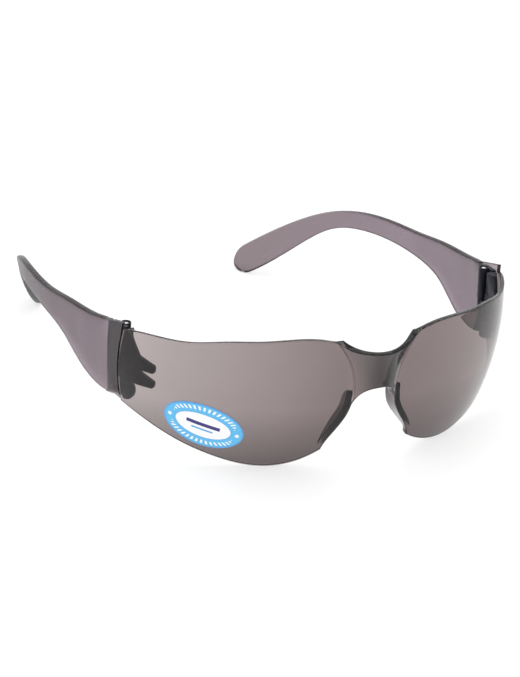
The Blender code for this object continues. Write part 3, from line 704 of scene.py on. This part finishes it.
def pin_mesh():
    """A turned pin with a domed head."""
    head_foot = COUNTERBORE_Z + HINGE_GAP / 2
    profile = [(0.0, head_foot + PIN_HEAD_HEIGHT)]
    for i in range(1, PIN_DOME_STEPS + 1):
        angle = pi / 2 * i / PIN_DOME_STEPS
        profile.append((PIN_HEAD_RADIUS * sin(angle), head_foot + PIN_HEAD_HEIGHT * cos(angle)))
    profile += [(PIN_RADIUS, head_foot), (PIN_RADIUS, PIN_FOOT_Z + PIN_CHAMFER)]
    profile += [(PIN_RADIUS - PIN_CHAMFER, PIN_FOOT_Z), (0.0, PIN_FOOT_Z)]
    bm = bmesh.new()
    verts = [bm.verts.new((r, 0, z)) for r, z in profile]
    edges = [bm.edges.new((a, b)) for a, b in zip(verts, verts[1:])]
    bmesh.ops.spin(bm, geom=verts + edges, cent=(0, 0, 0), axis=(0, 0, 1), angle=2 * pi, steps=PIN_SEGMENTS)
    bmesh.ops.remove_doubles(bm, verts=bm.verts, dist=PIN_MERGE_DISTANCE)
    bmesh.ops.translate(bm, vec=(HINGE_X, HINGE_Y, 0), verts=bm.verts)
    return mesh_from_bmesh("hinge_pin", bm)


# Temples

parting_ends = [pane_patch(1.0, i / PARTING_SAMPLES) for i in range(PARTING_SAMPLES + 1)]


def parting_point(height, depth):
    """A point of the temple's front edge, a gap behind the end of the lens."""
    along = (parting_ends[0].z - height) / (parting_ends[0].z - parting_ends[-1].z)
    t = min(max(along, 0.0), 1.0)
    across = end_edge(t) + PARTING_GAP
    up = mix(TOP_EDGE_UP[-1], BOTTOM_EDGE_UP[-1], t)
    point = pane_point(across, up, depth)
    return point + (parting_ends[-1] - parting_ends[0]) * (along - t)


def blade_point(t, lean, depth):
    """A point at t along the temple, lean from its foot at -1 to its top at 1, depth in from its outside."""
    half = temple_width(t) / 2
    step = TEMPLE_SLOPE_STEP
    rise = temple_middle(t + step) - temple_middle(t - step)
    run = 2 * step * TEMPLE_LENGTH
    slope = Vector((0, run, rise)).normalized()
    remaining = (1 - t) * Vector((0, run, rise)).length / (2 * step)
    end_radius = TEMPLE_WIDTH[-1] / 2
    if remaining < end_radius:
        half *= max(1 - (1 - remaining / end_radius)**2, TEMPLE_TIP_BLUNTNESS)**0.5
    y = HINGE_Y + TEMPLE_LENGTH * t - slope.z * half * lean
    z = temple_middle(t) + slope.y * half * lean
    bow = (z - TEMPLE_BOW_MIDDLE_Z)**2 / (2 * PANE_RADIUS_UP) * (1 - ease(t / TEMPLE_BOW_FADE))
    sideways = (temple_outer_x(t + step) - temple_outer_x(t)) / (step * TEMPLE_LENGTH)
    inward = Vector((-1, sideways, 0)).normalized()
    return Vector((temple_outer_x(t) - bow, y, z)) + inward * depth


def temple_point(t, lean, depth):
    """The blade's point, or near the front one on the way to the edge beside the lens."""
    point = blade_point(max(t, 0.0), lean, depth)
    if t >= TEMPLE_FRONT_BLEND:
        return point
    height = mix(TEMPLE_FRONT_FOOT_Z, TEMPLE_FRONT_TOP_Z, (lean + 1) / 2)
    front = parting_point(height, depth)
    along = (t + TEMPLE_FRONT_BLEND) / (2 * TEMPLE_FRONT_BLEND)
    behind = blade_point(TEMPLE_FRONT_BLEND, lean, depth)
    before = blade_point(TEMPLE_FRONT_BLEND - TEMPLE_SLOPE_STEP, lean, depth)
    slope = (behind - before) / TEMPLE_SLOPE_STEP * (2 * TEMPLE_FRONT_BLEND)
    square = along * along
    cube = square * along
    point = front * (2 * cube - 3 * square + 1) + (behind - front) * (cube - 2 * square + along)
    return point + behind * (3 * square - 2 * cube) + slope * (cube - square)


def insert_back(lean):
    """Where the insert ends along the temple; its back edge leans like the end of the lens."""
    return (INSERT_BACK_Y - INSERT_BACK_LEAN * lean - HINGE_Y) / TEMPLE_LENGTH


def front_station(share, gap=0.0):
    """A line across the temple, share of the way from its front to the insert's back edge and a gap."""
    return lambda lean: mix(-TEMPLE_FRONT_BLEND, insert_back(lean) + gap / TEMPLE_LENGTH, share)


def rear_station(share):
    """A line across the temple, share of the way from behind the insert to the start of the tip."""
    start = 2 * INSERT_GAP / TEMPLE_LENGTH
    return lambda lean: mix(insert_back(lean) + start, TIP_START, share)


def blade_section(station, outer_depth, inner_depth, edge, radius):
    """The blade's closed outline on a line across it, with rounded corners, between two depths."""
    half = temple_width(max(station(0.0), 0.0)) / 2
    limit = 1 - edge / half
    cut = radius / half
    flats = even_steps(-limit + cut, limit - cut, BLADE_LEVELS - 1)
    arc = [pi / 2 * i / BLADE_CORNER_STEPS for i in range(1, BLADE_CORNER_STEPS + 1)]
    outer = [(lean, outer_depth) for lean in flats]
    outer += [(limit - cut * (1 - sin(a)), outer_depth + radius * (1 - cos(a))) for a in arc]
    outer = [(-lean, depth) for lean, depth in reversed(outer[BLADE_LEVELS:])] + outer
    inner = [(lean, inner_depth - (depth - outer_depth)) for lean, depth in reversed(outer)]
    return [temple_point(station(lean), lean, depth) for lean, depth in outer + inner]


def temple_mesh():
    sections = []
    for i in range(TEMPLE_FRONT_STATIONS + 1):
        station = front_station(i / TEMPLE_FRONT_STATIONS, INSERT_GAP)
        sections.append(blade_section(station, 0, TEMPLE_SKIN, 0, SKIN_EDGE_RADIUS))
    stations = [rear_station(i / TEMPLE_STATIONS) for i in range(TEMPLE_STATIONS + 1)]
    tips = [mix(TIP_START, 1.0, sin(pi / 2 * i / TIP_STATIONS)) for i in range(1, TIP_STATIONS + 1)]
    stations += [lambda lean, t=t: t for t in tips]
    sections += [blade_section(station, 0, TEMPLE_THICKNESS, 0, TEMPLE_EDGE_RADIUS) for station in stations]
    return loft("temple", sections)


# Sticker

def label_point(radius, angle, depth):
    """A point of the sticker: the inner oval out to radius 0.5, then the ring out to radius 1."""
    if radius <= 0.5:
        shares = [2 * radius * w for w in LABEL_WINDOW]
    else:
        shares = [mix(w, 1.0, 2 * radius - 1) for w in LABEL_WINDOW]
    a = LABEL_HALF_LENGTH * shares[0] * cos(angle)
    b = LABEL_HALF_HEIGHT * shares[1] * sin(angle)
    across = LABEL_ACROSS + a * cos(LABEL_SLANT) - b * sin(LABEL_SLANT)
    up = LABEL_UP + a * sin(LABEL_SLANT) + b * cos(LABEL_SLANT)
    point = pane_point(across, up, depth)
    return Vector((-point.x, point.y, point.z)), (-a / MM, b / MM)


def label_mesh():
    """An oval sheet on the lens, with a print map in millimetres from its middle."""
    bm = bmesh.new()
    layer = bm.loops.layers.uv.new("print")
    sides = []
    for depth in (-LABEL_GAP - LABEL_THICKNESS, -LABEL_GAP):
        rings = []
        for ring in range(1, LABEL_RINGS + 1):
            radius = ring / LABEL_RINGS
            row = []
            for i in range(LABEL_SEGMENTS):
                place, spot = label_point(radius, 2 * pi * i / LABEL_SEGMENTS, depth)
                row.append((bm.verts.new(place), spot))
            rings.append(row)
        place, spot = label_point(0, 0, depth)
        sides.append(((bm.verts.new(place), spot), rings))

    def add_face(corners, material_index):
        face = bm.faces.new([vert for vert, spot in corners])
        face.material_index = material_index
        spots = {vert: spot for vert, spot in corners}
        for corner in face.loops:
            corner[layer].uv = spots[corner.vert]

    for index, (centre, rings) in enumerate(sides):
        for i in range(LABEL_SEGMENTS):
            j = (i + 1) % LABEL_SEGMENTS
            add_face((centre, rings[0][i], rings[0][j]), index)
            for inner, outer in zip(rings, rings[1:]):
                add_face((inner[i], outer[i], outer[j], inner[j]), index)
    front, back = sides[0][1][-1], sides[1][1][-1]
    for i in range(LABEL_SEGMENTS):
        j = (i + 1) % LABEL_SEGMENTS
        add_face((front[i], back[i], back[j], front[j]), 1)
    return mesh_from_bmesh("label", bm)


# Materials

class Look:
    """A Principled material and short ways to add nodes to it."""

    def __init__(self, name, **settings):
        self.material = bpy.data.materials.new(name)
        self.material.use_nodes = True
        self.nodes = self.material.node_tree.nodes
        self.links = self.material.node_tree.links
        self.shader = self.nodes["Principled BSDF"]
        self.output = self.nodes["Material Output"]
        for socket, value in settings.items():
            self.shader.inputs[socket.replace("_", " ")].default_value = value

    def add(self, kind, settings=None, **inputs):
        node = self.nodes.new(kind)
        for key, value in (settings or {}).items():
            setattr(node, key, value)
        for key, value in inputs.items():
            socket = node.inputs[key.replace("_", " ")]
            if isinstance(value, bpy.types.NodeSocket):
                self.links.new(value, socket)
            else:
                socket.default_value = value
        return node

    def place(self, stretch=(1, 1, 1)):
        position = self.add("ShaderNodeTexCoord").outputs["Object"]
        return self.add("ShaderNodeMapping", Vector=position, Scale=stretch).outputs["Vector"]

    def noise(self, scale, detail=3.0, roughness=0.5, stretch=(1, 1, 1)):
        return self.add("ShaderNodeTexNoise", Vector=self.place(stretch), Scale=scale, Detail=detail,
                        Roughness=roughness).outputs["Fac"]

    def spread(self, value, low, high, start=0.3, end=0.7):
        node = self.add("ShaderNodeMapRange", Value=value)
        for key, number in (("From Min", start), ("From Max", end), ("To Min", low), ("To Max", high)):
            node.inputs[key].default_value = number
        return node.outputs["Result"]

    def blend(self, amount, first, second):
        node = self.add("ShaderNodeMix", {"data_type": "RGBA"})
        for socket, value in ((node.inputs[0], amount), (node.inputs[6], first), (node.inputs[7], second)):
            if isinstance(value, bpy.types.NodeSocket):
                self.links.new(value, socket)
            elif isinstance(value, tuple):
                socket.default_value = (*value, 1.0)
            else:
                socket.default_value = value
        return node.outputs[2]

    def math(self, operation, first, second=0.0, clamp=False):
        node = self.add("ShaderNodeMath", {"operation": operation, "use_clamp": clamp})
        for socket, value in zip(node.inputs, (first, second)):
            if isinstance(value, bpy.types.NodeSocket):
                self.links.new(value, socket)
            else:
                socket.default_value = value
        return node.outputs[0]

    def connect(self, value, socket):
        self.links.new(value, self.shader.inputs[socket])

    def bump(self, height, strength, distance):
        node = self.add("ShaderNodeBump", Height=height, Strength=strength, Distance=distance)
        self.connect(node.outputs["Normal"], "Normal")

    def absorb(self, let_through, length):
        """Tints the inside, so that let_through of the light is left after the length."""
        rates = [-np.log(share) / length for share in let_through]
        density = max(rates) * DENSITY_MARGIN
        colour = (*[1 - rate / density for rate in rates], 1.0)
        volume = self.add("ShaderNodeVolumeAbsorption", Color=colour, Density=density)
        self.links.new(volume.outputs["Volume"], self.output.inputs["Volume"])


def polynomial(look, value, inputs, outputs, degree):
    """A node value that follows the curve through pairs of numbers, all in metres."""
    total = 0.0
    scaled = look.math("DIVIDE", value, MM)
    for factor in np.polyfit([number / MM for number in inputs], outputs, degree):
        total = look.math("ADD", look.math("MULTIPLY", total, scaled), float(factor))
    return total


def lens_look():
    """Smoke glass, with painted shade low down, in the middle of the bridge, along its folds and on the nose
    flanges.
    """
    look = Look("smoke_lens", Transmission_Weight=1.0, IOR=1.58, Specular_Tint=(0.5, 0.5, 0.5, 1.0))
    haze = look.noise(90.0, detail=4.0, roughness=0.6)
    clear = look.blend(look.spread(haze, 0, 1), *LENS_HAZE)
    place = look.add("ShaderNodeSeparateXYZ", Vector=look.place())
    # Painted shade, darker towards the bottom of the lens
    height = look.spread(place.outputs["Z"], 0.0, 1.0, LOW_PAINTED_SHADE_FOOT_Z, LOW_PAINTED_SHADE_TOP_Z)
    clear = look.blend(look.math("SUBTRACT", 1.0, height, clamp=True), clear, LOW_PAINTED_SHADE)

    crease = [pane_patch(0.0, t) for t in even_steps(0.0, CREASE_FOOT, CREASE_FIT_SAMPLES)]
    heights = [point.z + ORIGIN.z for point in crease]
    crease_x = polynomial(look, place.outputs["Z"], heights, [point.x for point in crease], CREASE_FIT_DEGREE)
    outward = look.math("ABSOLUTE", place.outputs["X"])
    aside = look.math("DIVIDE", outward, crease_x)
    # Painted shade in the middle of the bridge, darkest at its middle and fading to none at the folds
    middle = look.math("SUBTRACT", 1.0, look.math("MULTIPLY", aside, aside), clamp=True)
    clear = look.blend(middle, clear, BRIDGE_PAINTED_SHADE)
    # A painted shade line along each fold, above the foot of the bridge
    off_crease = look.math("ABSOLUTE", look.math("SUBTRACT", aside, 1.0))
    on_crease = look.spread(off_crease, 1.0, 0.0, CREASE_LINE_CORE, CREASE_LINE_SHARE)
    above = look.math("GREATER_THAN", place.outputs["Z"], heights[-1])
    clear = look.blend(look.math("MULTIPLY", on_crease, above), clear, CREASE_PAINTED_SHADE_LINE)

    # Painted shade on the nose flanges, from a little way behind the nose edge
    edge = [pane_patch(0.0, t) + ORIGIN for t in even_steps(FLANGE_START, 1.0, CREASE_FIT_SAMPLES)]
    heights = [point.z for point in edge]
    edge_y = polynomial(look, place.outputs["Z"], heights, [point.y for point in edge], FLANGE_FIT_DEGREE)
    depth = look.math("SUBTRACT", place.outputs["Y"], edge_y)
    behind = look.spread(depth, 0.0, 1.0, FLANGE_PAINTED_SHADE_START, FLANGE_PAINTED_SHADE_END)
    near_nose = look.math("LESS_THAN", outward, FLANGE_PAINTED_SHADE_X)
    clear = look.blend(look.math("MULTIPLY", behind, near_nose), clear, FLANGE_PAINTED_SHADE)

    look.connect(clear, "Base Color")
    look.connect(look.spread(look.noise(600.0, detail=5.0, roughness=0.65), 0.008, 0.035), "Roughness")
    look.bump(look.noise(45.0, detail=1.0), strength=0.15, distance=0.02 * MM)
    look.absorb(LENS_LET_THROUGH, LENS_LET_THROUGH_DEPTH)
    return look.material


def temple_look():
    """Frosted smoke plastic, with painted shade towards the ears."""
    look = Look("smoke_temple", Transmission_Weight=1.0, IOR=1.38, Specular_Tint=(0.4, 0.4, 0.4, 1.0))
    grain = look.noise(1600.0, detail=3.0, roughness=0.7)
    cloud = look.noise(70.0, detail=3.0, roughness=0.55)
    clear = look.blend(look.spread(grain, 0, 1), *TEMPLE_GRAIN)
    # Painted shade, darker further back along the temple towards the ear tip
    along = look.add("ShaderNodeSeparateXYZ", Vector=look.place()).outputs["Y"]
    clear = look.blend(look.spread(along, 0.0, 1.0, TIP_PAINTED_SHADE_START_Y, TIP_PAINTED_SHADE_END_Y), clear, TIP_PAINTED_SHADE)
    look.connect(clear, "Base Color")
    frosting = look.math("ADD", look.spread(cloud, 0.28, 0.36), look.spread(grain, -0.05, 0.05))
    look.connect(frosting, "Roughness")
    look.bump(grain, strength=0.25, distance=0.03 * MM)
    look.absorb(TEMPLE_LET_THROUGH, TEMPLE_THICKNESS)
    return look.material


def nylon_look():
    look = Look("black_hinge", Specular_IOR_Level=0.25)
    grain = look.noise(2600.0, detail=3.0, roughness=0.6)
    streak = look.noise(220.0, detail=3.0, roughness=0.5, stretch=(1, 1, 0.25))
    look.connect(look.blend(look.spread(streak, 0, 1), *NYLON_BLACKS), "Base Color")
    look.connect(look.spread(streak, 0.22, 0.42), "Roughness")
    look.bump(grain, strength=0.3, distance=0.02 * MM)
    return look.material


def steel_look():
    look = Look("pin_steel", Metallic=1.0)
    turning = look.noise(3000.0, detail=2.0, roughness=0.5, stretch=(0.15, 0.15, 2.0))
    look.connect(look.blend(look.spread(turning, 0, 1), *STEEL_TINTS), "Base Color")
    look.connect(look.spread(turning, 0.16, 0.3), "Roughness")
    look.bump(turning, strength=0.2, distance=0.01 * MM)
    return look.material


def label_look():
    """Sky-blue ring round a white window, with plain dashes, two dots and two plain bars."""
    look = Look("label_film")
    spot = look.add("ShaderNodeUVMap", {"uv_map": "print"}).outputs["UV"]
    axes = look.add("ShaderNodeSeparateXYZ", Vector=spot)
    across, up = axes.outputs["X"], axes.outputs["Y"]

    def oval(half_length, half_height, x=0.0):
        """The distance from an oval's middle, which is 1 on the oval."""
        a = look.math("DIVIDE", look.math("SUBTRACT", across, x), half_length)
        b = look.math("DIVIDE", up, half_height)
        total = look.math("ADD", look.math("MULTIPLY", a, a), look.math("MULTIPLY", b, b))
        return look.math("SQRT", total)

    def inside(distance, softness=PRINT_SOFTNESS):
        return look.spread(distance, 1.0, 0.0, 1 - softness, 1 + softness)

    def both(first, second):
        return look.math("MULTIPLY", first, second)

    def between(value, low, high):
        return both(look.math("GREATER_THAN", value, low), look.math("LESS_THAN", value, high))

    def bar(left, right, low, high):
        return both(between(across, left, right), between(up, low, high))

    rim = inside(oval(LABEL_HALF_LENGTH / MM - PRINT_RIM, LABEL_HALF_HEIGHT / MM - PRINT_RIM))
    window_edge = inside(oval(*PRINT_WINDOW_EDGE))
    window = inside(oval(*PRINT_WINDOW))
    paper = look.spread(look.noise(900.0, detail=4.0, roughness=0.6), 0, 1)
    blue = look.blend(paper, *PRINT_BLUES)
    white = look.blend(paper, *PRINT_WHITES)

    colour = look.blend(rim, PRINT_EDGE_BLUE, blue)
    long_share = look.math("DIVIDE", across, DASH_MIDDLE[0])
    high_share = look.math("DIVIDE", up, DASH_MIDDLE[1])
    turn = look.math("ARCTAN2", high_share, long_share)
    pitch = look.math("FRACT", look.math("MULTIPLY", turn, DASH_COUNT / (2 * pi)))
    dash = between(pitch, *DASH_SPAN)
    band = look.math("SUBTRACT", inside(oval(*DASH_BAND_OUTSIDE)), inside(oval(*DASH_BAND_INSIDE)))
    clear_ends = look.math("LESS_THAN", look.math("ABSOLUTE", across), DASH_END_X)
    colour = look.blend(both(both(dash, band), clear_ends), colour, white)
    for x in (-DOT_X, DOT_X):
        colour = look.blend(inside(oval(DOT_RADIUS, DOT_RADIUS, x), DOT_SOFTNESS), colour, white)
    colour = look.blend(window_edge, colour, PRINT_EDGE_BLUE)
    colour = look.blend(window, colour, white)
    colour = look.blend(bar(*UPPER_BAR), colour, PRINT_NAVY)
    colour = look.blend(bar(*LOWER_BAR), colour, PRINT_BAR_BLUE)
    look.connect(colour, "Base Color")
    look.connect(look.spread(look.noise(500.0, detail=3.0, roughness=0.5), 0.28, 0.42), "Roughness")
    look.bump(look.noise(1400.0, detail=3.0, roughness=0.6), strength=0.15, distance=0.02 * MM)
    return look.material


def label_back_look():
    look = Look("label_back")
    fibre = look.noise(1200.0, detail=4.0, roughness=0.65)
    look.connect(look.blend(look.spread(fibre, 0, 1), *LABEL_BACK_GREYS), "Base Color")
    look.connect(look.spread(fibre, 0.45, 0.65), "Roughness")
    look.bump(fibre, strength=0.2, distance=0.02 * MM)
    return look.material


def floor_look():
    look = Look("studio_floor", Emission_Color=(1.0, 1.0, 1.0, 1.0), Emission_Strength=FLOOR_GLOW)
    cloud = look.noise(3.0, detail=3.0, roughness=0.5)
    look.connect(look.blend(look.spread(cloud, 0, 1), *FLOOR_GREYS), "Base Color")
    look.connect(look.spread(look.noise(40.0, detail=3.0, roughness=0.5), 0.5, 0.6), "Roughness")
    look.bump(look.noise(400.0, detail=2.0, roughness=0.5), strength=0.05, distance=0.1 * MM)
    return look.material


# Studio

def build_floor():
    bm = bmesh.new()
    bmesh.ops.create_grid(bm, x_segments=FLOOR_SEGMENTS, y_segments=FLOOR_SEGMENTS, size=FLOOR_HALF_SIZE)
    floor = bpy.data.objects.new("floor", mesh_from_bmesh("floor", bm))
    floor.data.materials.append(floor_look())
    floor.location.z = -FLOOR_DROP
    bpy.context.scene.collection.objects.link(floor)


def build_lights():
    """An even white sky and one square softbox overhead, which the camera doesn't see."""
    world = bpy.data.worlds.new("studio")
    world.use_nodes = True
    sky = world.node_tree.nodes["Background"]
    sky.inputs["Color"].default_value = (1, 1, 1, 1)
    sky.inputs["Strength"].default_value = SKY_STRENGTH
    bpy.context.scene.world = world
    data = bpy.data.lights.new("overhead", "AREA")
    data.shape = "RECTANGLE"
    data.size = data.size_y = SOFTBOX_SIZE
    data.energy = SOFTBOX_RADIANCE * pi * SOFTBOX_SIZE * SOFTBOX_SIZE
    light = bpy.data.objects.new("overhead", data)
    light.location = SOFTBOX_PLACE
    beam = Vector(SOFTBOX_TARGET) - Vector(SOFTBOX_PLACE)
    light.rotation_euler = beam.to_track_quat("-Z", "Y").to_euler()
    light.visible_camera = False
    bpy.context.scene.collection.objects.link(light)


def build_camera():
    """The photo's camera, as found by the perspective fit."""
    level = cos(CAMERA_ELEVATION)
    back = Vector((sin(CAMERA_AZIMUTH) * level, -cos(CAMERA_AZIMUTH) * level, sin(CAMERA_ELEVATION)))
    right = (-back).cross(Vector((0, 0, 1))).normalized()
    up = right.cross(-back)
    across = right * cos(CAMERA_ROLL) + up * sin(CAMERA_ROLL)
    upright = up * cos(CAMERA_ROLL) - right * sin(CAMERA_ROLL)
    data = bpy.data.cameras.new("camera")
    data.sensor_width = CAMERA_SENSOR
    data.lens = CAMERA_LENS
    data.clip_start = CAMERA_CLIP_START
    camera = bpy.data.objects.new("camera", data)
    place = Matrix((across, upright, back)).transposed().to_4x4()
    place.translation = ORIGIN + Vector(CAMERA_TARGET) * MM + back * CAMERA_DISTANCE
    camera.matrix_world = place
    bpy.context.scene.collection.objects.link(camera)
    bpy.context.scene.camera = camera


def build_glasses():
    smoke, frosted, black, steel = lens_look(), temple_look(), nylon_look(), steel_look()
    flange = flange_mesh()
    lens = carve(lens_shell(), [("UNION", flange), ("UNION", mirrored(flange))])
    place_piece("one_piece_lens", lens, [smoke], "front", "lens", LENS_SMOOTH)
    mark_creases(lens)
    shapes = {
        "fork": (fork_piece(), black, "front", "black_hinge", "hinge_fork", MOULDED_SMOOTH),
        "pin": (pin_mesh(), steel, "front", "pin_steel", "hinge_pin", ROUND_SMOOTH),
        "temple_arm": (temple_mesh(), frosted, "temple", "smoke_temple", "temple", ROUND_SMOOTH),
        "hinge_plate": (insert_piece(), black, "temple", "black_hinge", "temple_hinge", MOULDED_SMOOTH),
    }
    for side in ("left", "right"):
        for name, (mesh, material, body, slot, node, smooth_angle) in shapes.items():
            own = mesh.copy() if side == "left" else mirrored(mesh)
            carrier = body if body == "front" else side + "_temple"
            place_piece(name + "_" + side, own, [material], carrier, node + "_" + side, smooth_angle)
    films = [label_look(), label_back_look()]
    place_piece("sticker", label_mesh(), films, "front", "label", LABEL_SMOOTH)


bpy.context.scene.view_settings.view_transform = "Standard"
build_glasses()
build_floor()
build_lights()
build_camera()

bpy.context.view_layer.update()
